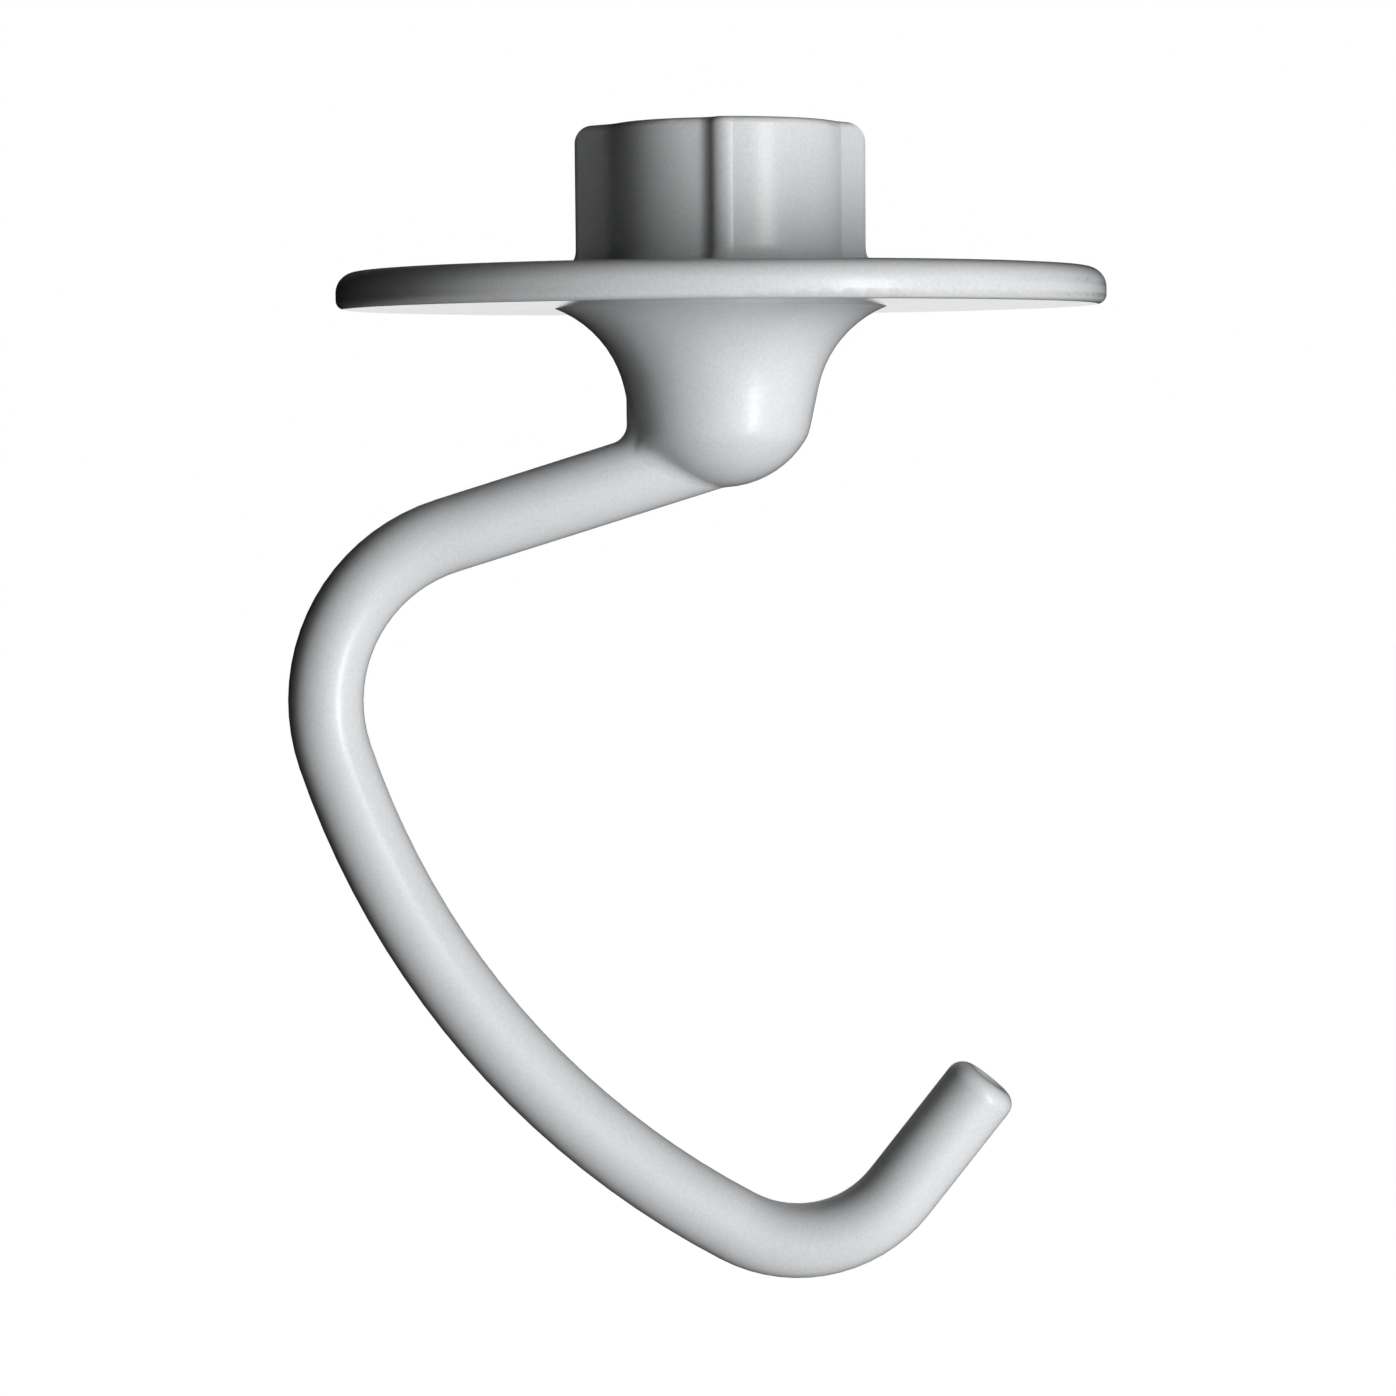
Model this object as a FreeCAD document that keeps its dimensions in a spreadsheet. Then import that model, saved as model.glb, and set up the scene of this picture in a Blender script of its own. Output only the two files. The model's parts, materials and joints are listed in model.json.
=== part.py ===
import FreeCAD, Part
import math
import os
import Sketcher

# Dough hook for a stand mixer, one coated casting.
# A hub with two lugs takes the mixer's drive shaft and its cross pin. A round shield keeps
# the dough off the shaft, and a flared neck ending in a ball carries the hook arm.
# Millimetres, +Z up. The origin is the centre of the shaft bore's mouth, on top of the hub.
# The arm leaves the neck towards -X and the whole hook lies in the XZ plane.

SIZES = {
    # hub: a round core, a raised cam on each side and two lugs over the pin slots
    "hub_height": 18.8,
    "hub_radius": 14.8,
    "cam_rise": 1.75,
    "cam_sweep": 84.6,
    "bead_radius": 2.2,
    "bead_rise": 0.14,
    "root_fillet": 2.6,
    "crease_fillet": 0.5,
    "lug_rise": 4.1,
    "lug_nose_radius": 1.5,
    "lug_root_flank": 48.0,
    "lug_cam_flank": 35.0,
    "lug_root_fillet": 6.0,
    "lug_corner_radius": 2.4,
    "hub_turn": 3.0,
    "hub_edge_radius": 0.9,
    "hub_foot_fillet": 2.8,
    # shield
    "shield_diameter": 100.0,
    "shield_thickness": 4.8,
    "rim_top_radius": 2.7,
    "rim_bottom_radius": 1.2,
    # neck and ball, seen from the side
    "ball_radius": 12.9,
    "ball_rise": 2.9,
    "flare_radius": 14.3,
    "flare_cut": 0.9,
    "neck_inset": 0.5,
    "neck_taper": 12.0,
    "shoulder_radius": 5.0,
    # arm: straight, crook, long sweep, heel and straight tip
    "arm_radius": 4.95,
    "arm_lift": 0.15,
    "arm_drop_angle": 17.1,
    "arm_length": 37.85,
    "crook_radius": 23.0,
    "crook_angle": 90.7,
    "sweep_radius": 110.5,
    "sweep_angle": 43.8,
    "heel_radius": 17.1,
    "heel_angle": 80.4,
    "tip_length": 19.3,
    "tip_edge_radius": 2.1,
    "tip_land": 0.35,
    "tip_dish_depth": 0.5,
    "arm_fillet": 2.6,
    # crotch: a small bulge of the neck over the arm's root
    "crotch_inset": 0.45,
    "crotch_radius": 6.0,
    "crotch_above_arm": 3.9,
    "crotch_fillet": 3.0,
    # shaft bore, pin slots and the pockets that the pin turns into
    "bore_diameter": 13.0,
    "bore_depth": 36.0,
    "mouth_chamfer": 0.5,
    "slot_width": 4.9,
    "slot_wall": 1.6,
    "slot_depth": 13.0,
    "lock_height": 5.2,
    "lock_sweep": 58.0,
}

# places that follow from the sizes, each a chain of sizes added or taken away
NECK_CHAIN = "+hub_height +shield_thickness +flare_radius -flare_cut"
BALL_CHAIN = NECK_CHAIN + " -ball_rise"
ARM_CHAIN = BALL_CHAIN + " +ball_radius -arm_radius -arm_lift"
CHAINS = {
    "flare_depth": NECK_CHAIN,
    "ball_depth": BALL_CHAIN,
    "arm_depth": ARM_CHAIN,
    "crotch_depth": ARM_CHAIN + " -crotch_above_arm",
    "flare_offset": "+ball_radius -neck_inset +flare_radius",
    "crotch_centre": "+ball_radius -crotch_inset -crotch_radius",
    "cam_radius": "+hub_radius +cam_rise",
    "bead_centre": "+hub_radius +cam_rise +bead_rise -bead_radius",
    "lug_reach": "+hub_radius +lug_rise",
    "lug_nose_centre": "+hub_radius +lug_rise -lug_nose_radius",
    "slot_reach": "+hub_radius -slot_wall",
    "dish_radius": "+arm_radius -tip_edge_radius -tip_land",
}

NODE = "dough_hook"
# two places closer than this, in millimetres, count as one
TOLERANCE = 0.01
# a lug's flanks run on to this share of the core's radius, well inside it
LUG_ROOT_SHARE = 0.87


def make_sheet(doc):
    """Write every size into the spreadsheet under its own alias."""
    sheet = doc.addObject("Spreadsheet::Sheet", "sizes")
    for row, (name, value) in enumerate(SIZES.items(), start=1):
        sheet.set(f"A{row}", name)
        sheet.set(f"B{row}", str(value))
        sheet.setAlias(f"B{row}", name)
    doc.recompute()
    return sheet


def size(name):
    """Return a size's number, for first positions that the constraints then hold."""
    if name in SIZES:
        return SIZES[name]
    terms = CHAINS[name].split()
    return sum(SIZES[term[1:]] if term[0] == "+" else -SIZES[term[1:]] for term in terms)


def rule(name):
    """Return the expression that binds a number to a chain of the spreadsheet's cells."""
    terms = [f"{term[0]} sizes.{term[1:]}" for term in CHAINS[name].split()]
    return "(" + " ".join(terms).removeprefix("+ ") + ")"


def origin_plane(body, role):
    """Return one of the body's own origin planes."""
    for feature in body.Origin.OriginFeatures:
        if feature.Role == role:
            return feature
    raise RuntimeError("no plane " + role)


def new_sketch(body, name, role, turn=None, shift=None):
    """Start a sketch on an origin plane, turned about its normal or moved by an expression."""
    sketch = body.newObject("Sketcher::SketchObject", name)
    sketch.AttachmentSupport = (origin_plane(body, role), [""])
    sketch.MapMode = "FlatFace"
    if turn:
        sketch.AttachmentOffset = FreeCAD.Placement(
            FreeCAD.Vector(), FreeCAD.Rotation(FreeCAD.Vector(0, 0, -1), size("hub_turn")))
        sketch.setExpression("AttachmentOffset.Rotation.Angle", turn)
    if shift:
        sketch.setExpression("AttachmentOffset.Base.z", shift)
    return sketch


def vector(x, y):
    return FreeCAD.Vector(x, y, 0)


def add_line(sketch, start, end):
    return sketch.addGeometry(Part.LineSegment(vector(*start), vector(*end)), False)


def add_arc(sketch, centre, radius, start_deg, end_deg):
    """Add an arc that runs anticlockwise between two angles in degrees."""
    circle = Part.Circle(vector(*centre), FreeCAD.Vector(0, 0, 1), radius)
    arc = Part.ArcOfCircle(circle, math.radians(start_deg), math.radians(end_deg))
    return sketch.addGeometry(arc, False)


def add_circle(sketch, centre, radius):
    circle = Part.Circle(vector(*centre), FreeCAD.Vector(0, 0, 1), radius)
    return sketch.addGeometry(circle, False)


def relate(sketch, kind, *references):
    """Add a constraint that has no number."""
    return sketch.addConstraint(Sketcher.Constraint(kind, *references))


def dimension(sketch, name, expression, kind, *references):
    """Add a named constraint whose number comes from the spreadsheet."""
    index = sketch.addConstraint(Sketcher.Constraint(kind, *references))
    sketch.renameConstraint(index, name)
    sketch.setExpression("Constraints." + name, expression)
    return index


def pad_down(body, name, sketch, length):
    """Extrude a sketch from the top of the hub down towards the shield."""
    pad = body.newObject("PartDesign::Pad", name)
    pad.Profile = sketch
    pad.Reversed = True
    pad.setExpression("Length", length)
    sketch.Visibility = False
    return pad


def pocket_down(body, name, sketch, length):
    """Cut a sketch down into the casting and make sure that the cut removed material."""
    before = body.Tip.Shape.Volume
    pocket = body.newObject("PartDesign::Pocket", name)
    pocket.Profile = sketch
    pocket.setExpression("Length", length)
    body.Document.recompute()
    if not pocket.Shape.Volume < before - TOLERANCE:
        raise RuntimeError(name + " removed nothing")
    return pocket


def fillet_edges(body, name, base, edges, radius):
    """Round the numbered edges of a feature."""
    if not edges:
        raise RuntimeError(name + " found no edge")
    fillet = body.newObject("PartDesign::Fillet", name)
    fillet.Base = (base, [f"Edge{number}" for number in edges])
    fillet.setExpression("Radius", radius)
    body.Document.recompute()
    return fillet


def middle(edge):
    """Return the point halfway along an edge."""
    return edge.valueAt((edge.FirstParameter + edge.LastParameter) / 2)


def axis_distance(point):
    return math.hypot(point.x, point.y)


def upright_edges(shape, radius):
    """Number the vertical edges of the hub that stand at a distance from the shaft axis."""
    found = []
    for number, edge in enumerate(shape.Edges, start=1):
        box = edge.BoundBox
        is_upright = box.XLength < TOLERANCE and box.YLength < TOLERANCE
        reaches_top = abs(box.ZMax) < TOLERANCE
        at_radius = abs(axis_distance(middle(edge)) - radius) < TOLERANCE
        if is_upright and reaches_top and at_radius:
            found.append(number)
    return found


def is_by_lug(edge):
    """Tell whether an upright edge stands nearer to a lug than to the end of a cam."""
    point = middle(edge)
    turn = math.radians(size("hub_turn"))
    along = point.x * math.cos(turn) - point.y * math.sin(turn)
    across = point.x * math.sin(turn) + point.y * math.cos(turn)
    return abs(along) > abs(across)


def lug_root_edges(shape):
    """Number the sharp upright edges where the lugs' steep flanks meet the core."""
    upright = upright_edges(shape, size("hub_radius"))
    return [number for number in upright if is_by_lug(shape.Edges[number - 1])]


def step_edges(shape):
    """Number the sharp upright edges where the ends of the cams meet the core."""
    upright = upright_edges(shape, size("hub_radius"))
    return [number for number in upright if not is_by_lug(shape.Edges[number - 1])]


def level_edges(shape, height, widest):
    """Number the edges that lie at one height, no further from the shaft axis than widest."""
    found = []
    for number, edge in enumerate(shape.Edges, start=1):
        box = edge.BoundBox
        at_height = abs(box.ZMin - height) < TOLERANCE and abs(box.ZMax - height) < TOLERANCE
        if at_height and axis_distance(middle(edge)) < widest:
            found.append(number)
    return found


def make_shield_and_neck(body):
    """Turn the shield, the flared neck and the ball as one profile about the shaft axis."""
    hub_foot = -size("hub_height")
    underside = hub_foot - size("shield_thickness")
    radius = size("shield_diameter") / 2
    top = size("rim_top_radius")
    bottom = size("rim_bottom_radius")
    flare = (size("flare_offset"), -size("flare_depth"))
    flare_radius = size("flare_radius")
    taper = math.radians(size("neck_taper"))
    outward = (math.cos(taper), -math.sin(taper))
    along = (-math.sin(taper), -math.cos(taper))
    flare_end = (flare[0] - flare_radius * outward[0], flare[1] - flare_radius * outward[1])
    rise = underside - flare[1]
    flare_top_deg = 180 - math.degrees(math.asin(rise / flare_radius))
    flare_start = (flare[0] - math.sqrt(flare_radius ** 2 - rise ** 2), underside)
    ball = (0, -size("ball_depth"))
    ball_radius = size("ball_radius")
    shoulder_radius = size("shoulder_radius")
    # the shoulder arc touches the tapered line and the ball from inside
    inner = flare_end[0] * outward[0] + (flare_end[1] - ball[1]) * outward[1] - shoulder_radius
    lower = math.sqrt((ball_radius - shoulder_radius) ** 2 - inner ** 2)
    shoulder = (inner * outward[0] + lower * along[0], ball[1] + inner * outward[1] + lower * along[1])
    shoulder_deg = math.degrees(math.atan2(shoulder[1] - ball[1], shoulder[0]))
    taper_end = (shoulder[0] + shoulder_radius * outward[0], shoulder[1] + shoulder_radius * outward[1])

    sketch = new_sketch(body, "shield_and_neck_profile", "XZ_Plane")
    top_line = add_line(sketch, (0, hub_foot), (radius - top, hub_foot))
    top_rim = add_arc(sketch, (radius - top, hub_foot - top), top, 0, 90)
    edge_line = add_line(sketch, (radius, hub_foot - top), (radius, underside + bottom))
    bottom_rim = add_arc(sketch, (radius - bottom, underside + bottom), bottom, -90, 0)
    under_line = add_line(sketch, (radius - bottom, underside), flare_start)
    flare_arc = add_arc(sketch, flare, flare_radius, flare_top_deg, 180 - size("neck_taper"))
    taper_line = add_line(sketch, flare_end, taper_end)
    shoulder_arc = add_arc(sketch, shoulder, shoulder_radius, shoulder_deg, -size("neck_taper"))
    ball_arc = add_arc(sketch, ball, ball_radius, -90, shoulder_deg)
    axis_line = add_line(sketch, (0, ball[1] - ball_radius), (0, hub_foot))

    relate(sketch, "Tangent", top_line, 2, top_rim, 2)
    relate(sketch, "Tangent", top_rim, 1, edge_line, 1)
    relate(sketch, "Tangent", edge_line, 2, bottom_rim, 2)
    relate(sketch, "Tangent", bottom_rim, 1, under_line, 1)
    relate(sketch, "Coincident", under_line, 2, flare_arc, 1)
    relate(sketch, "Tangent", flare_arc, 2, taper_line, 1)
    relate(sketch, "Tangent", taper_line, 2, shoulder_arc, 2)
    relate(sketch, "Tangent", shoulder_arc, 1, ball_arc, 2)
    relate(sketch, "Coincident", ball_arc, 1, axis_line, 1)
    relate(sketch, "Coincident", axis_line, 2, top_line, 1)
    relate(sketch, "PointOnObject", ball_arc, 1, -2)
    relate(sketch, "PointOnObject", ball_arc, 3, -2)
    relate(sketch, "PointOnObject", top_line, 1, -2)
    relate(sketch, "Horizontal", top_line)
    relate(sketch, "Vertical", edge_line)
    relate(sketch, "Horizontal", under_line)
    dimension(sketch, "hub_height", "sizes.hub_height",
              "DistanceY", top_line, 1, -1, 1, -hub_foot)
    dimension(sketch, "thickness", "sizes.shield_thickness",
              "DistanceY", under_line, 1, top_line, 1, hub_foot - underside)
    dimension(sketch, "shield_radius", "sizes.shield_diameter / 2",
              "DistanceX", -1, 1, edge_line, 1, radius)
    dimension(sketch, "rim_top", "sizes.rim_top_radius", "Radius", top_rim, top)
    dimension(sketch, "rim_bottom", "sizes.rim_bottom_radius", "Radius", bottom_rim, bottom)
    dimension(sketch, "flare", "sizes.flare_radius", "Radius", flare_arc, flare_radius)
    dimension(sketch, "flare_offset", rule("flare_offset"),
              "DistanceX", -1, 1, flare_arc, 3, flare[0])
    dimension(sketch, "flare_depth", rule("flare_depth"),
              "DistanceY", flare_arc, 3, -1, 1, -flare[1])
    dimension(sketch, "taper", "-(90 + sizes.neck_taper) * 1 deg",
              "Angle", taper_line, -(math.pi / 2 + taper))
    dimension(sketch, "shoulder", "sizes.shoulder_radius", "Radius", shoulder_arc, shoulder_radius)
    dimension(sketch, "ball", "sizes.ball_radius", "Radius", ball_arc, ball_radius)
    dimension(sketch, "ball_depth", rule("ball_depth"),
              "DistanceY", ball_arc, 3, -1, 1, -ball[1])

    turned = body.newObject("PartDesign::Revolution", "shield_and_neck")
    turned.Profile = sketch
    turned.ReferenceAxis = (sketch, ["V_Axis"])
    turned.Angle = 360
    body.Document.recompute()
    return turned


def sketch_core(body):
    sketch = new_sketch(body, "core_outline", "XY_Plane")
    circle = add_circle(sketch, (0, 0), size("hub_radius"))
    relate(sketch, "Coincident", circle, 3, -1, 1)
    dimension(sketch, "core", "sizes.hub_radius", "Radius", circle, size("hub_radius"))
    return sketch


def sketch_sector(body, name, radius, radius_rule, sweep, sweep_rule, shift=None):
    """Sketch a pie slice that runs clockwise from the lug's middle line."""
    sketch = new_sketch(body, name, "XY_Plane", turn="sizes.hub_turn * 1 deg", shift=shift)
    end_angle = math.radians(sweep)
    corner = (radius * math.cos(end_angle), -radius * math.sin(end_angle))
    start_line = add_line(sketch, (0, 0), (radius, 0))
    arc = add_arc(sketch, (0, 0), radius, -sweep, 0)
    end_line = add_line(sketch, corner, (0, 0))
    relate(sketch, "Coincident", start_line, 1, -1, 1)
    relate(sketch, "PointOnObject", start_line, 2, -1)
    relate(sketch, "Coincident", arc, 3, -1, 1)
    relate(sketch, "Coincident", arc, 2, start_line, 2)
    relate(sketch, "Coincident", end_line, 1, arc, 1)
    relate(sketch, "Coincident", end_line, 2, -1, 1)
    dimension(sketch, "reach", radius_rule, "Radius", arc, radius)
    dimension(sketch, "sweep", sweep_rule, "Angle", arc, end_angle)
    return sketch


def sketch_bead(body):
    """Sketch the rounded bead at the end of a cam, where the hub steps in."""
    sketch = new_sketch(body, "bead_outline", "XY_Plane", turn="sizes.hub_turn * 1 deg")
    distance = size("bead_centre")
    angle = math.radians(size("cam_sweep"))
    centre = (distance * math.cos(angle), -distance * math.sin(angle))
    spoke = add_line(sketch, (0, 0), centre)
    sketch.toggleConstruction(spoke)
    circle = add_circle(sketch, centre, size("bead_radius"))
    relate(sketch, "Coincident", spoke, 1, -1, 1)
    relate(sketch, "Coincident", circle, 3, spoke, 2)
    dimension(sketch, "angle", "-sizes.cam_sweep * 1 deg", "Angle", spoke, -angle)
    dimension(sketch, "distance", rule("bead_centre"), "Distance", spoke, distance)
    dimension(sketch, "bead", "sizes.bead_radius", "Radius", circle, size("bead_radius"))
    return sketch


def sketch_lug(body):
    """Sketch a lug: a round nose, a steep flank on the core's side and a long one on the cam's."""
    sketch = new_sketch(body, "lug_outline", "XY_Plane", turn="sizes.hub_turn * 1 deg")
    nose_radius = size("lug_nose_radius")
    centre = size("lug_nose_centre")
    root = size("hub_radius") * LUG_ROOT_SHARE
    back = math.radians(size("lug_root_flank"))
    front = math.radians(size("lug_cam_flank"))
    back_touch = (centre + nose_radius * math.cos(back), nose_radius * math.sin(back))
    front_touch = (centre + nose_radius * math.cos(front), -nose_radius * math.sin(front))
    back_root = (root, back_touch[1] + (back_touch[0] - root) / math.tan(back))
    front_root = (root, front_touch[1] - (front_touch[0] - root) / math.tan(front))
    nose = add_arc(sketch, (centre, 0), nose_radius, -size("lug_cam_flank"), size("lug_root_flank"))
    back_flank = add_line(sketch, back_touch, back_root)
    root_line = add_line(sketch, back_root, front_root)
    front_flank = add_line(sketch, front_root, front_touch)
    relate(sketch, "PointOnObject", nose, 3, -1)
    relate(sketch, "Tangent", nose, 2, back_flank, 1)
    relate(sketch, "Tangent", front_flank, 2, nose, 1)
    relate(sketch, "Coincident", back_flank, 2, root_line, 1)
    relate(sketch, "Coincident", root_line, 2, front_flank, 1)
    relate(sketch, "Vertical", root_line)
    dimension(sketch, "nose", "sizes.lug_nose_radius", "Radius", nose, nose_radius)
    dimension(sketch, "centre", rule("lug_nose_centre"), "DistanceX", -1, 1, nose, 3, centre)
    dimension(sketch, "root_flank", "(90 + sizes.lug_root_flank) * 1 deg",
              "Angle", back_flank, math.pi / 2 + back)
    dimension(sketch, "cam_flank", "(90 - sizes.lug_cam_flank) * 1 deg",
              "Angle", front_flank, math.pi / 2 - front)
    dimension(sketch, "root", f"sizes.hub_radius * {LUG_ROOT_SHARE}",
              "DistanceX", -1, 1, root_line, 1, root)
    return sketch


def make_hub(body):
    """Build the hub on the shield: core, cams, beads and lugs, then its rounded edges."""
    doc = body.Document
    hub_length = "sizes.hub_height + sizes.shield_thickness / 2"
    cam_radius = size("cam_radius")
    pad_down(body, "hub_core", sketch_core(body), hub_length)
    cam_outline = sketch_sector(body, "cam_outline", cam_radius, rule("cam_radius"),
                                size("cam_sweep"), "sizes.cam_sweep * 1 deg")
    cam = pad_down(body, "cam", cam_outline, hub_length)
    bead = pad_down(body, "bead", sketch_bead(body), hub_length)
    lug_outline = sketch_lug(body)
    lug = pad_down(body, "lug", lug_outline, hub_length)
    doc.recompute()
    pair = body.newObject("PartDesign::PolarPattern", "opposite_side")
    pair.Originals = [cam, bead, lug]
    pair.Axis = (lug_outline, ["N_Axis"])
    pair.Angle = 360
    pair.Occurrences = 2
    body.Tip = pair
    doc.recompute()

    lug_roots = fillet_edges(body, "lug_root_fillets", pair,
                             lug_root_edges(pair.Shape), "sizes.lug_root_fillet")
    roots = fillet_edges(body, "root_fillets", lug_roots,
                         step_edges(lug_roots.Shape), "sizes.root_fillet")
    creases = fillet_edges(body, "crease_fillets", roots,
                           upright_edges(roots.Shape, cam_radius), "sizes.crease_fillet")
    rounded = fillet_edges(body, "top_edge", creases,
                           level_edges(creases.Shape, 0, size("shield_diameter") / 2),
                           "sizes.hub_edge_radius")
    groove = trim_lug_corners(body)
    return fillet_edges(body, "hub_foot", groove,
                        level_edges(groove.Shape, -size("hub_height"), size("lug_reach") + 1),
                        "sizes.hub_foot_fillet")


def trim_lug_corners(body):
    """Turn the top corners of both lugs round, with a ring-shaped cut about the shaft axis."""
    reach = size("lug_reach")
    corner = size("lug_corner_radius")
    sketch = new_sketch(body, "lug_corner_profile", "XZ_Plane")
    arc = add_arc(sketch, (reach - corner, -corner), corner, 0, 90)
    right_foot = add_line(sketch, (reach, -corner), (reach + corner, -corner))
    side = add_line(sketch, (reach + corner, -corner), (reach + corner, corner))
    roof = add_line(sketch, (reach + corner, corner), (reach - corner, corner))
    left_side = add_line(sketch, (reach - corner, corner), (reach - corner, 0))
    relate(sketch, "Coincident", arc, 1, right_foot, 1)
    relate(sketch, "Coincident", right_foot, 2, side, 1)
    relate(sketch, "Coincident", side, 2, roof, 1)
    relate(sketch, "Coincident", roof, 2, left_side, 1)
    relate(sketch, "Coincident", left_side, 2, arc, 2)
    relate(sketch, "Horizontal", right_foot)
    relate(sketch, "Vertical", side)
    relate(sketch, "Horizontal", roof)
    relate(sketch, "Vertical", left_side)
    relate(sketch, "Vertical", arc, 3, arc, 2)
    relate(sketch, "Horizontal", arc, 3, arc, 1)
    dimension(sketch, "corner", "sizes.lug_corner_radius", "Radius", arc, corner)
    dimension(sketch, "reach", rule("lug_reach"), "DistanceX", -1, 1, arc, 1, reach)
    dimension(sketch, "depth", "sizes.lug_corner_radius", "DistanceY", arc, 1, -1, 1, corner)
    dimension(sketch, "outer", "sizes.lug_corner_radius", "DistanceX", right_foot, 1, right_foot, 2, corner)
    dimension(sketch, "above", "sizes.lug_corner_radius", "DistanceY", -1, 1, roof, 2, corner)
    before = body.Tip.Shape.Volume
    groove = body.newObject("PartDesign::Groove", "lug_corners")
    groove.Profile = sketch
    groove.ReferenceAxis = (sketch, ["V_Axis"])
    groove.Angle = 360
    body.Document.recompute()
    if not groove.Shape.Volume < before:
        raise RuntimeError("the lug corners were not cut")
    return groove


def sketch_arm_path(body):
    """Sketch the arm's middle line: straight, crook, long sweep, heel and straight tip."""
    sketch = new_sketch(body, "arm_path", "XZ_Plane")
    heading = size("arm_drop_angle") - 180
    point = (0, -size("arm_depth"))
    corner = step(point, heading, size("arm_length"))
    straight = add_line(sketch, point, corner)
    pieces = [straight]
    for bend in ("crook", "sweep", "heel"):
        radius = size(bend + "_radius")
        span = size(bend + "_angle")
        centre = step(corner, heading + 90, radius)
        arc = add_arc(sketch, centre, radius, heading - 90, heading - 90 + span)
        if len(pieces) == 1:
            relate(sketch, "Tangent", straight, 2, arc, 1)
        else:
            relate(sketch, "Tangent", pieces[-1], 2, arc, 1)
        dimension(sketch, bend + "_radius", f"sizes.{bend}_radius", "Radius", arc, radius)
        dimension(sketch, bend + "_angle", f"sizes.{bend}_angle * 1 deg", "Angle", arc, math.radians(span))
        pieces.append(arc)
        heading += span
        corner = step(centre, heading - 90, radius)
    tip = add_line(sketch, corner, step(corner, heading, size("tip_length")))
    relate(sketch, "Tangent", pieces[-1], 2, tip, 1)
    relate(sketch, "PointOnObject", straight, 1, -2)
    dimension(sketch, "depth", rule("arm_depth"), "DistanceY", straight, 1, -1, 1, size("arm_depth"))
    dimension(sketch, "drop", "(sizes.arm_drop_angle - 180) * 1 deg",
              "Angle", straight, math.radians(size("arm_drop_angle") - 180))
    dimension(sketch, "arm_length", "sizes.arm_length", "Distance", straight, size("arm_length"))
    dimension(sketch, "tip_length", "sizes.tip_length", "Distance", tip, size("tip_length"))
    return sketch


def step(point, heading_deg, distance):
    """Return the point reached from another by going a distance in a direction."""
    heading = math.radians(heading_deg)
    return (point[0] + distance * math.cos(heading), point[1] + distance * math.sin(heading))


def make_arm(body):
    """Sweep the round section along the arm's middle line and blend it into the neck."""
    path = sketch_arm_path(body)
    section = new_sketch(body, "arm_section", "YZ_Plane")
    section.AttachmentOffset = FreeCAD.Placement(
        FreeCAD.Vector(0, -size("arm_depth"), 0),
        FreeCAD.Rotation(FreeCAD.Vector(-1, 0, 0), size("arm_drop_angle")))
    section.setExpression("AttachmentOffset.Base.y", "-" + rule("arm_depth"))
    section.setExpression("AttachmentOffset.Rotation.Angle", "sizes.arm_drop_angle * 1 deg")
    circle = add_circle(section, (0, 0), size("arm_radius"))
    relate(section, "Coincident", circle, 3, -1, 1)
    dimension(section, "arm", "sizes.arm_radius", "Radius", circle, size("arm_radius"))
    arm = body.newObject("PartDesign::AdditivePipe", "arm")
    arm.Profile = section
    arm.Spine = (path, [f"Edge{number}" for number in range(1, 6)])
    arm.Transition = "Transformed"
    body.Document.recompute()
    return arm


def make_crotch(body):
    """Turn a short upright capsule into the neck's side, over the root of the arm."""
    radius = size("crotch_radius")
    middle_line = -size("crotch_centre")
    roof = -size("ball_depth")
    foot = -size("crotch_depth")
    sketch = new_sketch(body, "crotch_profile", "XZ_Plane")
    top_line = add_line(sketch, (middle_line, roof), (middle_line + radius, roof))
    side = add_line(sketch, (middle_line + radius, roof), (middle_line + radius, foot))
    round_foot = add_arc(sketch, (middle_line, foot), radius, 270, 360)
    axis_line = add_line(sketch, (middle_line, foot - radius), (middle_line, roof))
    relate(sketch, "Coincident", top_line, 2, side, 1)
    relate(sketch, "Tangent", side, 2, round_foot, 2)
    relate(sketch, "Coincident", round_foot, 1, axis_line, 1)
    relate(sketch, "Coincident", axis_line, 2, top_line, 1)
    relate(sketch, "Horizontal", top_line)
    relate(sketch, "Vertical", side)
    relate(sketch, "PointOnObject", round_foot, 3, axis_line)
    relate(sketch, "Vertical", axis_line)
    dimension(sketch, "radius", "sizes.crotch_radius", "Radius", round_foot, radius)
    dimension(sketch, "centre", rule("crotch_centre"), "DistanceX", axis_line, 1, -1, 1, -middle_line)
    dimension(sketch, "roof", rule("ball_depth"), "DistanceY", side, 1, -1, 1, -roof)
    dimension(sketch, "depth", rule("crotch_depth"), "DistanceY", round_foot, 3, -1, 1, -foot)
    crotch = body.newObject("PartDesign::Revolution", "crotch")
    crotch.Profile = sketch
    crotch.ReferenceAxis = (sketch, ["Edge4"])
    crotch.Angle = 360
    body.Document.recompute()
    return fillet_edges(body, "crotch_blend", crotch, crotch_edges(crotch.Shape), "sizes.crotch_fillet")


def is_crotch_side(face):
    """Tell whether a face belongs to the capsule over the arm's root."""
    surface = face.Surface
    if not isinstance(surface, (Part.Cylinder, Part.Sphere)):
        return False
    same_radius = abs(surface.Radius - size("crotch_radius")) < TOLERANCE
    return same_radius and abs(surface.Center.x + size("crotch_centre")) < TOLERANCE


def crotch_edges(shape):
    """Number the edges where the capsule runs into the neck and the ball."""
    found = []
    for number, edge in enumerate(shape.Edges, start=1):
        faces = shape.ancestorsOfType(edge, Part.Face)
        capsule = [face for face in faces if is_crotch_side(face)]
        if len(faces) == 2 and len(capsule) == 1:
            found.append(number)
    return found


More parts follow.
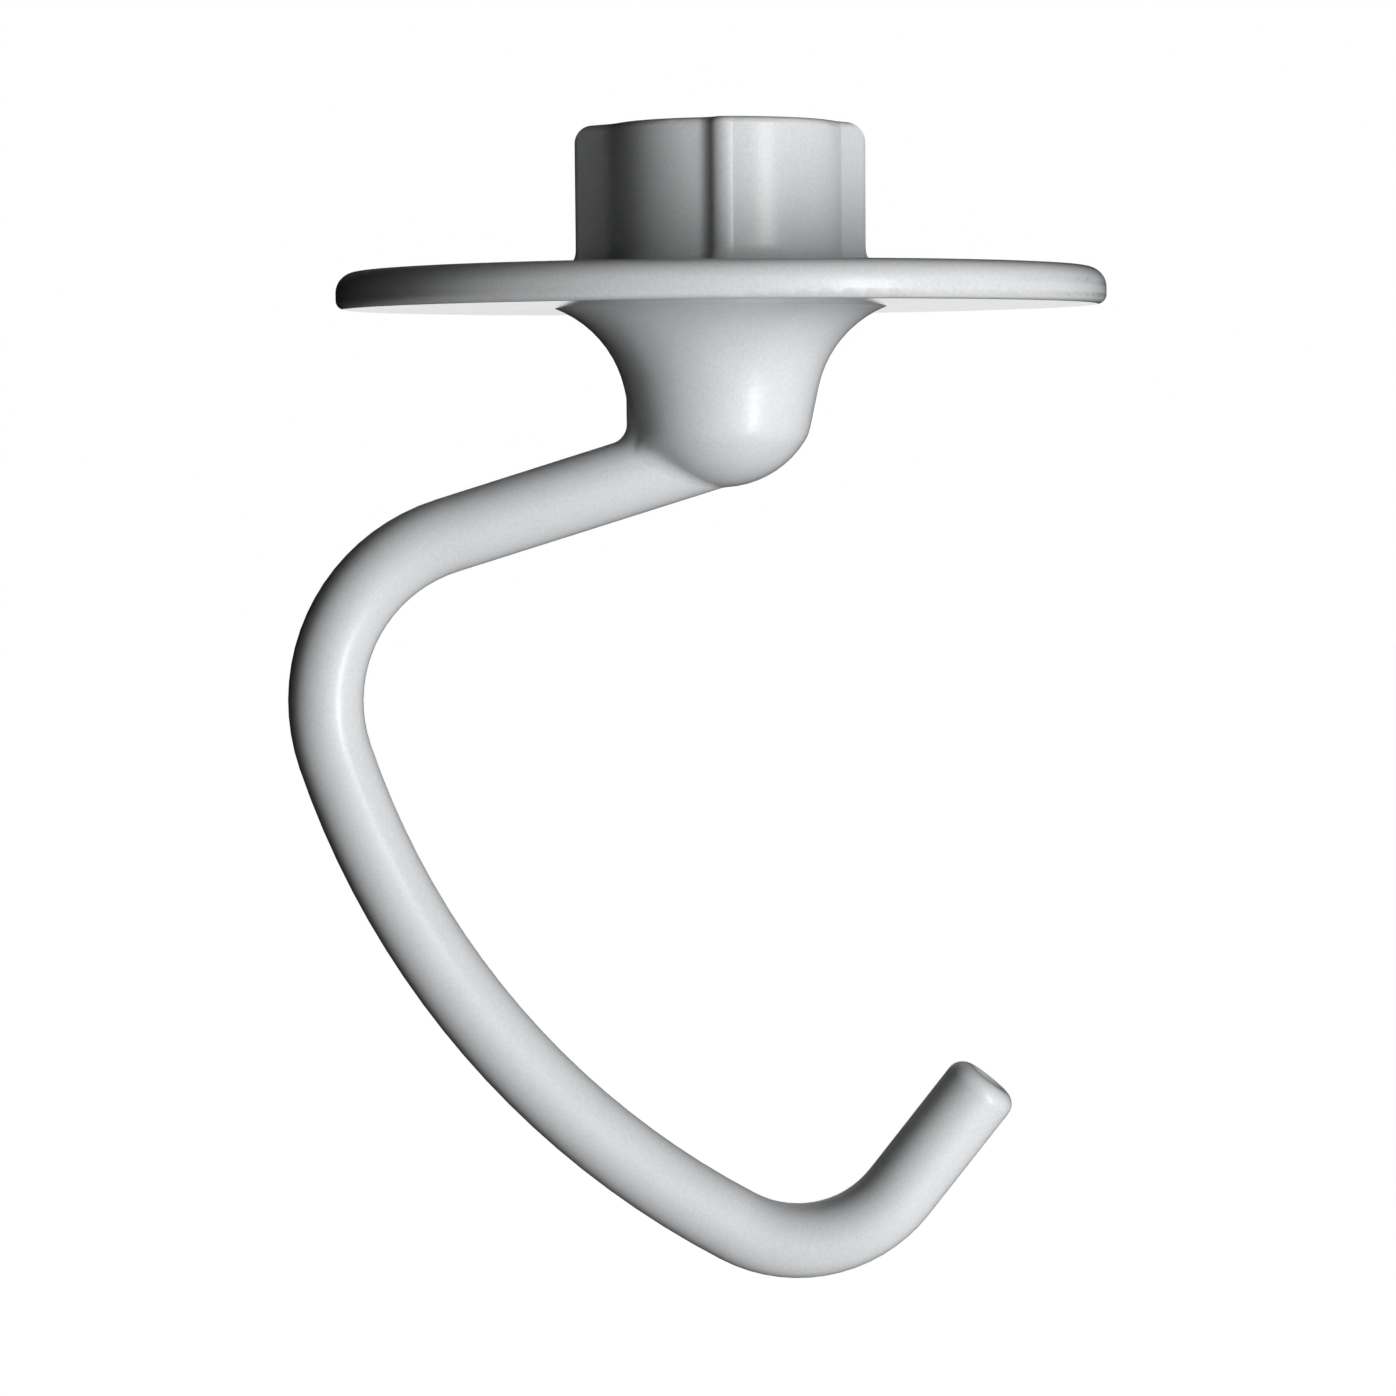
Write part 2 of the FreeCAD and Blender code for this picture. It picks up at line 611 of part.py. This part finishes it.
def is_arm_side(face):
    """Tell whether a face is one of the arm's straight sides."""
    surface = face.Surface
    if not isinstance(surface, Part.Cylinder):
        return False
    same_radius = abs(surface.Radius - size("arm_radius")) < TOLERANCE
    in_hook_plane = abs(surface.Axis.y) < TOLERANCE
    return same_radius and in_hook_plane and abs(surface.Axis.x) > TOLERANCE


def arm_root_edges(shape):
    """Number the edges where the arm's straight side runs into the ball and the neck."""
    found = []
    for number, edge in enumerate(shape.Edges, start=1):
        faces = shape.ancestorsOfType(edge, Part.Face)
        arm_sides = [face for face in faces if is_arm_side(face)]
        near_neck = axis_distance(middle(edge)) < size("ball_radius") + size("arm_radius")
        if len(faces) == 2 and len(arm_sides) == 1 and near_neck:
            found.append(number)
    return found


def end_face(shape):
    """Return the number of the flat face at the arm's tip."""
    sketch_heading = (size("arm_drop_angle") - 180 + size("crook_angle")
                      + size("sweep_angle") + size("heel_angle"))
    heading = math.radians(sketch_heading)
    for number, face in enumerate(shape.Faces, start=1):
        if not isinstance(face.Surface, Part.Plane):
            continue
        normal = face.normalAt(0, 0)
        along_tip = normal.x * math.cos(heading) + normal.z * math.sin(heading)
        if along_tip > 1 - TOLERANCE ** 2 and face.CenterOfMass.z < -size("ball_depth"):
            return number
    raise RuntimeError("the arm has no end face")


def finish_arm(body):
    """Blend the arm into the neck, round its tip and dish the end."""
    arm = body.Tip
    blended = fillet_edges(body, "arm_blend", arm, arm_root_edges(arm.Shape), "sizes.arm_fillet")
    number = end_face(blended.Shape)
    face = blended.Shape.Faces[number - 1]
    edges = [index for index, edge in enumerate(blended.Shape.Edges, start=1)
             if any(edge.isSame(rim) for rim in face.Edges)]
    rounded = fillet_edges(body, "tip_edge", blended, edges, "sizes.tip_edge_radius")
    dish = body.newObject("PartDesign::SubtractiveSphere", "tip_dish")
    dish.AttachmentSupport = (body.Document.getObject("arm_path"), ["Edge5"])
    dish.MapMode = "NormalToEdge"
    dish.MapPathParameter = 1
    ball = f"({rule('dish_radius')} ^ 2 + sizes.tip_dish_depth ^ 2) / (2 * sizes.tip_dish_depth)"
    dish.setExpression("Radius", ball)
    dish.setExpression("AttachmentOffset.Base.z", "sizes.tip_dish_depth - " + ball)
    body.Document.recompute()
    if not dish.Shape.Volume < rounded.Shape.Volume:
        raise RuntimeError("the tip was not dished")
    return dish


def make_bore(body):
    """Cut the shaft bore, the two pin slots and the pockets that the pin turns into."""
    bore_outline = new_sketch(body, "bore_outline", "XY_Plane")
    circle = add_circle(bore_outline, (0, 0), size("bore_diameter") / 2)
    relate(bore_outline, "Coincident", circle, 3, -1, 1)
    dimension(bore_outline, "bore", "sizes.bore_diameter", "Diameter", circle, size("bore_diameter"))
    pocket_down(body, "shaft_bore", bore_outline, "sizes.bore_depth")
    pocket_down(body, "pin_slots", sketch_slot(body), "sizes.slot_depth")

    sector = sketch_sector(body, "lock_outline", size("slot_reach"), rule("slot_reach"),
                           size("lock_sweep"), "sizes.lock_sweep * 1 deg",
                           shift="-(sizes.slot_depth - sizes.lock_height)")
    lock = pocket_down(body, "lock_pocket", sector, "sizes.lock_height")
    pair = body.newObject("PartDesign::PolarPattern", "lock_pockets")
    pair.Originals = [lock]
    pair.Axis = (sector, ["N_Axis"])
    pair.Angle = 360
    pair.Occurrences = 2
    body.Tip = pair
    body.Document.recompute()
    if not pair.Shape.Volume < lock.Shape.Volume - TOLERANCE:
        raise RuntimeError("the second lock pocket removed nothing")

    mouth = body.newObject("PartDesign::Chamfer", "mouth_chamfer")
    rim = level_edges(pair.Shape, 0, size("slot_reach") + TOLERANCE)
    mouth.Base = (pair, [f"Edge{number}" for number in rim])
    mouth.setExpression("Size", "sizes.mouth_chamfer")
    body.Document.recompute()
    return mouth


def sketch_slot(body):
    """Sketch the slot that lets the cross pin in, straight through both lugs' middle line."""
    sketch = new_sketch(body, "slot_outline", "XY_Plane", turn="sizes.hub_turn * 1 deg")
    reach = size("slot_reach")
    half = size("slot_width") / 2
    front = add_line(sketch, (-reach, -half), (reach, -half))
    right = add_line(sketch, (reach, -half), (reach, half))
    back = add_line(sketch, (reach, half), (-reach, half))
    left = add_line(sketch, (-reach, half), (-reach, -half))
    relate(sketch, "Coincident", front, 2, right, 1)
    relate(sketch, "Coincident", right, 2, back, 1)
    relate(sketch, "Coincident", back, 2, left, 1)
    relate(sketch, "Coincident", left, 2, front, 1)
    relate(sketch, "Horizontal", front)
    relate(sketch, "Vertical", right)
    relate(sketch, "Horizontal", back)
    relate(sketch, "Symmetric", front, 1, back, 1, -1, 1)
    dimension(sketch, "width", "sizes.slot_width", "Distance", right, size("slot_width"))
    dimension(sketch, "span", "2 * " + rule("slot_reach"), "Distance", front, 2 * reach)
    return sketch


def check_document(doc):
    """Stop the build if any object of the document failed."""
    for item in doc.Objects:
        if "Invalid" in item.State or "Error" in item.State:
            raise RuntimeError(item.Name + " did not build")


def main():
    doc = FreeCAD.newDocument(NODE)
    make_sheet(doc)
    body = doc.addObject("PartDesign::Body", NODE)
    body.Label = NODE
    make_shield_and_neck(body)
    make_hub(body)
    make_crotch(body)
    make_arm(body)
    finish_arm(body)
    make_bore(body)
    doc.recompute()
    check_document(doc)
    shape = body.Shape
    if shape.isNull() or not shape.isValid() or len(shape.Solids) != 1:
        raise RuntimeError(NODE + " is not one valid solid")
    os.makedirs("parts", exist_ok=True)
    shape.exportStep("parts/" + NODE + ".step")
    print(NODE, round(shape.Volume), "mm3")


main()
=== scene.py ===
import json
import math

import bpy
from mathutils import Matrix, Vector

bl_info = {
    "name": "Dough Hook Studio",
    "version": (1, 0, 0),
    "blender": (4, 5, 0),
    "location": "3D Viewport > Sidebar > Dough Hook",
    "description": "Coats the mixer's dough hook and sets it up in a plain studio",
    "category": "Object",
}

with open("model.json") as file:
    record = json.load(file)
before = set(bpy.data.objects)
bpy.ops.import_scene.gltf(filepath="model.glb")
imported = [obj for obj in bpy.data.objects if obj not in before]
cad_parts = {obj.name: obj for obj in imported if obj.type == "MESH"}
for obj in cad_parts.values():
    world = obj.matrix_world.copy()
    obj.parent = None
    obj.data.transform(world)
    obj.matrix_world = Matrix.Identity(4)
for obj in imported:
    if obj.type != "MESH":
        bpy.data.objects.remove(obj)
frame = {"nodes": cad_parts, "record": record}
casting = frame["nodes"]["dough_hook"]
coating = frame["record"]["materials"][0]
bore = frame["record"]["mounts"][0]["dims"]

# a mix node's first value socket and its result socket, for numbers and for colours
MIX_SOCKETS = {"FLOAT": (2, 0), "RGBA": (6, 2)}
# the stretch of a noise's value that nearly all of it lies in
NOISE_RANGE = (0.3, 0.7)

# enamel: distance between two cloudy patches, and between two satin ones, in metres
CLOUD_WIDTH = 0.009
SATIN_WIDTH = 0.006
# what the clouds and the specks each give to the enamel's mottle
CLOUD_SHARE = 0.2
SPECK_SHARE = 0.8
# how far the enamel's roughness swings to either side
SATIN_SWING = 0.04

# bare bore: where the metal ends and the enamel begins, outside the bore's wall, in metres
BARE_EDGE = 0.00005
ENAMEL_EDGE = 0.0003
# how far under the bore's floor the metal ends
BARE_UNDER_FLOOR = 0.0005
BORED_ROUGHNESS = 0.32

# softboxes: bearing from the shaft in degrees, height of the middle and the box's size in metres
KEY_BOX = (41, -0.25, (0.64, 1.5))
WIDE_BOX = (22, -0.21, (1.8, 1.8))
BACK_BOX = (182, 0.38, (0.9, 0.9))
# how far the softboxes stand from the shaft, and the point of the hook that they face
LAMP_DISTANCE = 1.2
LAMP_TARGET = (0, 0, -0.06)

FLOOR_HALF_SIDE = 12.0
# black tent round the hook: its radius, its top and how far above the floor it ends
TENT_RADIUS = 2.2
TENT_TOP = 0.7
TENT_LIFT = 0.01
# the tent's window to the backdrop: bearing of its middle, and its lower and upper edge
WINDOW_BEARING = 180
WINDOW_LEVELS = (-0.16, 0.08)
# width of one strip of the tent's cloth in degrees, which is half the window's
STRIP_WIDTH = 8


class HookFinish(bpy.types.PropertyGroup):
    """Sizes and colours of the casting's enamel and of its bare shaft bore."""

    enamel_colour: bpy.props.FloatVectorProperty(
        name="Enamel colour",
        description="Colour of the grey enamel",
        default=coating["base_color"][:3],
        subtype="COLOR",
        min=0.0,
        max=1.0,
    )
    enamel_roughness: bpy.props.FloatProperty(
        name="Enamel roughness",
        description="Roughness of the pigment under the clear gloss",
        default=0.38,
        min=0.0,
        max=1.0,
        subtype="FACTOR",
    )
    gloss_roughness: bpy.props.FloatProperty(
        name="Gloss roughness",
        description="Roughness of the enamel's clear skin",
        default=0.08,
        min=0.0,
        max=1.0,
        subtype="FACTOR",
    )
    enamel_shine: bpy.props.FloatProperty(
        name="Enamel shine",
        description="How strongly the pigment under the clear gloss reflects",
        default=0.27,
        min=0.0,
        max=1.0,
        subtype="FACTOR",
    )
    gloss_index: bpy.props.FloatProperty(
        name="Gloss index",
        description="Refractive index of the enamel's clear skin",
        default=1.16,
        min=1.0,
        max=2.0,
    )
    grain_width: bpy.props.FloatProperty(
        name="Grain width",
        description="Distance between two specks of the fired enamel",
        default=0.0004,
        min=0.0001,
        precision=5,
        subtype="DISTANCE",
        unit="LENGTH",
    )
    grain_contrast: bpy.props.FloatProperty(
        name="Grain contrast",
        description="How far the specks differ from the enamel's colour",
        default=0.06,
        min=0.0,
        max=1.0,
        subtype="FACTOR",
    )
    peel_width: bpy.props.FloatProperty(
        name="Orange peel width",
        description="Distance between two bumps of the sprayed skin",
        default=0.0016,
        min=0.0001,
        subtype="DISTANCE",
        unit="LENGTH",
    )
    peel_depth: bpy.props.FloatProperty(
        name="Orange peel depth",
        description="Height of the bumps of the sprayed skin",
        default=0.0000025,
        min=0.0,
        precision=6,
        subtype="DISTANCE",
        unit="LENGTH",
    )
    cast_width: bpy.props.FloatProperty(
        name="Casting wave width",
        description="Distance between two soft waves left by the mould",
        default=0.014,
        min=0.001,
        subtype="DISTANCE",
        unit="LENGTH",
    )
    cast_depth: bpy.props.FloatProperty(
        name="Casting wave depth",
        description="Height of the soft waves left by the mould",
        default=0.000015,
        min=0.0,
        precision=6,
        subtype="DISTANCE",
        unit="LENGTH",
    )
    metal_colour: bpy.props.FloatVectorProperty(
        name="Bare metal colour",
        description="Colour of the bored aluminium inside the hub",
        default=(0.56, 0.56, 0.57),
        subtype="COLOR",
        min=0.0,
        max=1.0,
    )
    bore_radius: bpy.props.FloatProperty(
        name="Bore radius",
        description="Radius of the shaft bore, which stays bare",
        default=bore["r_mm"] / 1000,
        min=0.001,
        subtype="DISTANCE",
        unit="LENGTH",
    )
    bore_depth: bpy.props.FloatProperty(
        name="Bore depth",
        description="Depth of the shaft bore, which stays bare",
        default=bore["length_mm"] / 1000,
        min=0.001,
        subtype="DISTANCE",
        unit="LENGTH",
    )


class StudioSettings(bpy.types.PropertyGroup):
    """Camera, lamps and floor around the hanging hook."""

    camera_place: bpy.props.FloatVectorProperty(
        name="Camera place",
        description="Camera's place, from the middle of the bore's mouth",
        default=(-0.00339, -0.4664, -0.0334),
        subtype="TRANSLATION",
        unit="LENGTH",
    )
    camera_tilt: bpy.props.FloatProperty(
        name="Camera tilt",
        description="How far the camera looks down",
        default=0.0883,
        subtype="ANGLE",
        unit="ROTATION",
    )
    camera_roll: bpy.props.FloatProperty(
        name="Camera roll",
        description="How far the camera leans clockwise",
        default=0.0082,
        subtype="ANGLE",
        unit="ROTATION",
    )
    lens: bpy.props.FloatProperty(
        name="Lens",
        description="Focal length on a 36 mm sensor, in millimetres",
        default=91.67,
        min=1.0,
        subtype="DISTANCE_CAMERA",
        unit="CAMERA",
    )
    key_power: bpy.props.FloatProperty(
        name="Key power",
        description="Power of the bright strip softbox, low on the right",
        default=68.0,
        min=0.0,
        subtype="POWER",
        unit="POWER",
    )
    wide_power: bpy.props.FloatProperty(
        name="Wide power",
        description="Power of the wide softbox round the bright strip",
        default=19.0,
        min=0.0,
        subtype="POWER",
        unit="POWER",
    )
    back_power: bpy.props.FloatProperty(
        name="Back power",
        description="Power of the soft lamp behind the hook",
        default=38.0,
        min=0.0,
        subtype="POWER",
        unit="POWER",
    )
    floor_depth: bpy.props.FloatProperty(
        name="Floor depth",
        description="How far the floor lies under the bore's mouth",
        default=0.95,
        min=0.3,
        subtype="DISTANCE",
        unit="LENGTH",
    )


def feed(tree, value, socket):
    """Give a socket another socket's value, or a plain number or colour."""
    if isinstance(value, bpy.types.NodeSocket):
        tree.links.new(value, socket)
    else:
        socket.default_value = value


def calculate(tree, operation, *values):
    """Work out a number from numbers or sockets with a math node."""
    node = tree.nodes.new("ShaderNodeMath")
    node.operation = operation
    for socket, value in zip(node.inputs, values):
        feed(tree, value, socket)
    return node.outputs["Value"]


def length_after(tree, vector, operation, operand):
    """Return a vector's length once a vector operation with a fixed operand has changed it."""
    changed = tree.nodes.new("ShaderNodeVectorMath")
    changed.operation = operation
    feed(tree, vector, changed.inputs[0])
    feed(tree, operand, changed.inputs[1])
    length = tree.nodes.new("ShaderNodeVectorMath")
    length.operation = "LENGTH"
    feed(tree, changed.outputs["Vector"], length.inputs[0])
    return length.outputs["Value"]


def ramp(tree, value, source, target, curve="LINEAR"):
    """Map one range of a value onto another, and hold it at the ends."""
    node = tree.nodes.new("ShaderNodeMapRange")
    node.interpolation_type = curve
    node.inputs["From Min"].default_value, node.inputs["From Max"].default_value = source
    node.inputs["To Min"].default_value, node.inputs["To Max"].default_value = target
    feed(tree, value, node.inputs["Value"])
    return node.outputs["Result"]


def mix(tree, kind, mask, outside, inside):
    """Blend two numbers or two colours by a mask, which is one inside."""
    node = tree.nodes.new("ShaderNodeMix")
    node.data_type = kind
    first, result = MIX_SOCKETS[kind]
    feed(tree, mask, node.inputs["Factor"])
    feed(tree, outside, node.inputs[first])
    feed(tree, inside, node.inputs[first + 1])
    return node.outputs[result]


def noise(tree, place, width, detail=2.0):
    """Add smooth noise whose bumps lie a given width apart."""
    node = tree.nodes.new("ShaderNodeTexNoise")
    node.inputs["Scale"].default_value = 1 / width
    node.inputs["Detail"].default_value = detail
    feed(tree, place, node.inputs["Vector"])
    return node.outputs["Fac"]


def bump(tree, height, depth, below=None):
    """Add a bump of a given depth, over another one if there is one."""
    node = tree.nodes.new("ShaderNodeBump")
    node.inputs["Distance"].default_value = depth
    feed(tree, height, node.inputs["Height"])
    if below:
        feed(tree, below, node.inputs["Normal"])
    return node.outputs["Normal"]


def bore_mask(tree, place, finish):
    """Mask the wall and floor of the shaft bore: one inside it, nothing outside."""
    from_shaft = length_after(tree, place, "MULTIPLY", (1, 1, 0))
    edge = (finish.bore_radius + BARE_EDGE, finish.bore_radius + ENAMEL_EDGE)
    inside = ramp(tree, from_shaft, edge, (1, 0))
    axes = tree.nodes.new("ShaderNodeSeparateXYZ")
    feed(tree, place, axes.inputs["Vector"])
    lowest = -(finish.bore_depth + BARE_UNDER_FLOOR)
    above = calculate(tree, "GREATER_THAN", axes.outputs["Z"], lowest)
    return calculate(tree, "MULTIPLY", inside, above)


def enamel(finish):
    """Grey enamel on cast aluminium, glossy over a satin ground, with a bare shaft bore."""
    material = bpy.data.materials.new("grey_enamel")
    material.use_nodes = True
    tree = material.node_tree
    shader = tree.nodes["Principled BSDF"]
    place = tree.nodes.new("ShaderNodeTexCoord").outputs["Object"]
    bare = bore_mask(tree, place, finish)

    specks = calculate(tree, "MULTIPLY", noise(tree, place, finish.grain_width), SPECK_SHARE)
    clouds = noise(tree, place, CLOUD_WIDTH)
    patches = calculate(tree, "MULTIPLY_ADD", clouds, CLOUD_SHARE, specks)
    mottle = ramp(tree, patches, NOISE_RANGE, (0, 1))
    pigment = Vector(finish.enamel_colour)
    dark = (*(pigment * (1 - finish.grain_contrast)), 1)
    light = (*(pigment * (1 + finish.grain_contrast)), 1)
    speckled = mix(tree, "RGBA", mottle, dark, light)
    metal = (*finish.metal_colour, 1)
    feed(tree, mix(tree, "RGBA", bare, speckled, metal), shader.inputs["Base Color"])
    feed(tree, bare, shader.inputs["Metallic"])

    rough = finish.enamel_roughness
    swing = (rough - SATIN_SWING, rough + SATIN_SWING)
    satin = ramp(tree, noise(tree, place, SATIN_WIDTH), NOISE_RANGE, swing)
    feed(tree, mix(tree, "FLOAT", bare, satin, BORED_ROUGHNESS), shader.inputs["Roughness"])
    feed(tree, mix(tree, "FLOAT", bare, 1.0, 0.0), shader.inputs["Coat Weight"])
    shader.inputs["Coat Roughness"].default_value = finish.gloss_roughness
    shader.inputs["Coat IOR"].default_value = finish.gloss_index
    shader.inputs["Specular IOR Level"].default_value = finish.enamel_shine

    waves = bump(tree, noise(tree, place, finish.cast_width, 1.0), finish.cast_depth)
    peel = bump(tree, noise(tree, place, finish.peel_width), finish.peel_depth, waves)
    feed(tree, peel, shader.inputs["Normal"])
    feed(tree, peel, shader.inputs["Coat Normal"])
    return material


class HOOK_OT_coat_casting(bpy.types.Operator):
    """Give the casting its enamel and its bare shaft bore"""

    bl_idname = "hook.coat_casting"
    bl_label = "Coat the Casting"

    def execute(self, context):
        casting.data.materials.clear()
        casting.data.materials.append(enamel(context.scene.hook_finish))
        return {"FINISHED"}


def from_axis(bearing, distance, height):
    """Return a place by its bearing from the shaft: 0 is the camera's side, 90 its right."""
    turn = math.radians(bearing)
    return (distance * math.sin(turn), -distance * math.cos(turn), height)


def aim(place, target):
    """Return a placement that looks from one point at another, upright."""
    turn = (Vector(target) - Vector(place)).to_track_quat("-Z", "Y")
    return Matrix.Translation(place) @ turn.to_matrix().to_4x4()


def soften(lamp):
    """Let a softbox fade from its middle to its rim, as one with a single tube inside does."""
    lamp.use_nodes = True
    tree = lamp.node_tree
    across = tree.nodes.new("ShaderNodeNewGeometry").outputs["Parametric"]
    from_middle = length_after(tree, across, "SUBTRACT", (0.5, 0.5, 0))
    fade = ramp(tree, from_middle, (0, 0.5), (1, 0), "SMOOTHSTEP")
    feed(tree, fade, tree.nodes["Emission"].inputs["Strength"])


def add_softbox(name, bearing, height, size, power, mirrored=True):
    """Add a softbox that the camera doesn't see, and that gloss shows only if mirrored."""
    lamp = bpy.data.lights.new(name, "AREA")
    lamp.shape = "RECTANGLE"
    lamp.size, lamp.size_y = size
    lamp.energy = power
    soften(lamp)
    softbox = bpy.data.objects.new(name, lamp)
    bpy.context.scene.collection.objects.link(softbox)
    softbox.matrix_world = aim(from_axis(bearing, LAMP_DISTANCE, height), LAMP_TARGET)
    softbox.visible_camera = False
    softbox.visible_glossy = mirrored


def add_card(name, corners, faces, material):
    """Add a card of flat faces through given corners."""
    mesh = bpy.data.meshes.new(name)
    mesh.from_pydata(corners, [], faces)
    mesh.materials.append(material)
    card = bpy.data.objects.new(name, mesh)
    bpy.context.scene.collection.objects.link(card)
    return card


def black_cloth():
    """Matt black cloth for the tent round the hook."""
    material = bpy.data.materials.new("black_cloth")
    material.use_nodes = True
    shader = material.node_tree.nodes["Principled BSDF"]
    shader.inputs["Base Color"].default_value = (0.012, 0.012, 0.012, 1)
    shader.inputs["Roughness"].default_value = 0.9
    return material


def hang_tent(lowest):
    """Hang black cloth round the hook, with a window to the backdrop.

    The hook's gloss then shows only the cloth, the window and the lamps.
    """
    levels = (lowest, *WINDOW_LEVELS, TENT_TOP)
    bearings = [WINDOW_BEARING + step for step in range(STRIP_WIDTH, 360, STRIP_WIDTH)]
    corners = [
        from_axis(bearing, TENT_RADIUS, level) for level in levels for bearing in bearings
    ]
    columns = len(bearings)
    faces = []
    for row in range(len(levels) - 1):
        for column in range(columns):
            after = (column + 1) % columns
            window = row == 1 and after == 0
            if not window:
                low, high = row * columns, (row + 1) * columns
                faces.append((low + column, low + after, high + after, high + column))
    bottom, top = 0, (len(levels) - 1) * columns
    faces += [tuple(range(start, start + columns)) for start in (bottom, top)]
    tent = add_card("black_tent", corners, faces, black_cloth())
    tent.visible_camera = False
    tent.visible_shadow = False


def seen_directly(tree):
    """Tell camera, glossy and transmission rays from the light that falls on things."""
    rays = tree.nodes.new("ShaderNodeLightPath").outputs
    seen = calculate(tree, "MAXIMUM", rays["Is Camera Ray"], rays["Is Glossy Ray"])
    return calculate(tree, "MAXIMUM", seen, rays["Is Transmission Ray"])


def white_paper():
    """White paper for the floor: it keeps a shadow, and reads white where it is seen."""
    material = bpy.data.materials.new("white_paper")
    material.use_nodes = True
    tree = material.node_tree
    shader = tree.nodes["Principled BSDF"]
    shader.inputs["Base Color"].default_value = (0.86, 0.86, 0.86, 1)
    shader.inputs["Roughness"].default_value = 0.9
    shader.inputs["Specular IOR Level"].default_value = 0.0
    shader.inputs["Emission Color"].default_value = (1, 1, 1, 1)
    feed(tree, seen_directly(tree), shader.inputs["Emission Strength"])
    return material


def add_room():
    """White room that is pure white where it is seen, and gives no light of its own."""
    world = bpy.data.worlds.new("white_room")
    world.use_nodes = True
    tree = world.node_tree
    background = tree.nodes["Background"]
    background.inputs["Color"].default_value = (1, 1, 1, 1)
    feed(tree, seen_directly(tree), background.inputs["Strength"])
    bpy.context.scene.world = world


def add_camera(studio):
    """Put the camera where the photograph was taken from."""
    data = bpy.data.cameras.new("camera")
    data.sensor_width = 36
    data.lens = studio.lens
    data.clip_start = 0.01
    data.clip_end = 50
    camera = bpy.data.objects.new("camera", data)
    bpy.context.scene.collection.objects.link(camera)
    tilt = studio.camera_tilt
    roll = studio.camera_roll
    ahead = Vector((0, math.cos(tilt), -math.sin(tilt)))
    level_right = Vector((1, 0, 0))
    level_up = level_right.cross(ahead)
    right = math.cos(roll) * level_right - math.sin(roll) * level_up
    up = math.sin(roll) * level_right + math.cos(roll) * level_up
    turn = Matrix((right, up, -ahead)).transposed()
    camera.matrix_world = Matrix.Translation(studio.camera_place) @ turn.to_4x4()
    bpy.context.scene.camera = camera
    return camera


class HOOK_OT_build_studio(bpy.types.Operator):
    """Set up the floor, the black tent, the lamps, the room and the camera"""

    bl_idname = "hook.build_studio"
    bl_label = "Build the Studio"

    def execute(self, context):
        studio = context.scene.hook_studio
        floor_z = -studio.floor_depth
        corners = [
            (x * FLOOR_HALF_SIDE, y * FLOOR_HALF_SIDE, floor_z)
            for x, y in ((-1, -1), (1, -1), (1, 1), (-1, 1))
        ]
        add_card("floor", corners, [(0, 1, 2, 3)], white_paper())
        hang_tent(floor_z + TENT_LIFT)
        add_softbox("key_softbox", *KEY_BOX, studio.key_power)
        add_softbox("wide_softbox", *WIDE_BOX, studio.wide_power)
        add_softbox("back_softbox", *BACK_BOX, studio.back_power, mirrored=False)
        add_room()
        add_camera(studio)
        context.scene.view_settings.view_transform = "Standard"
        return {"FINISHED"}


class HOOK_PT_sidebar(bpy.types.Panel):
    """Sidebar panel with the hook's finish and its studio"""

    bl_idname = "HOOK_PT_sidebar"
    bl_label = "Dough Hook"
    bl_space_type = "VIEW_3D"
    bl_region_type = "UI"
    bl_category = "Dough Hook"

    def draw(self, context):
        layout = self.layout
        for settings, operator in (
            (context.scene.hook_finish, HOOK_OT_coat_casting),
            (context.scene.hook_studio, HOOK_OT_build_studio),
        ):
            box = layout.box()
            for name in settings.__annotations__:
                box.prop(settings, name)
            box.operator(operator.bl_idname)


CLASSES = (HookFinish, StudioSettings, HOOK_OT_coat_casting, HOOK_OT_build_studio, HOOK_PT_sidebar)


def register():
    for cls in CLASSES:
        bpy.utils.register_class(cls)
    bpy.types.Scene.hook_finish = bpy.props.PointerProperty(type=HookFinish)
    bpy.types.Scene.hook_studio = bpy.props.PointerProperty(type=StudioSettings)


def unregister():
    del bpy.types.Scene.hook_studio
    del bpy.types.Scene.hook_finish
    for cls in reversed(CLASSES):
        bpy.utils.unregister_class(cls)


def main():
    register()
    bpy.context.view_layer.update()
    bpy.ops.hook.coat_casting()
    bpy.ops.hook.build_studio()


if __name__ == "__main__":
    main()
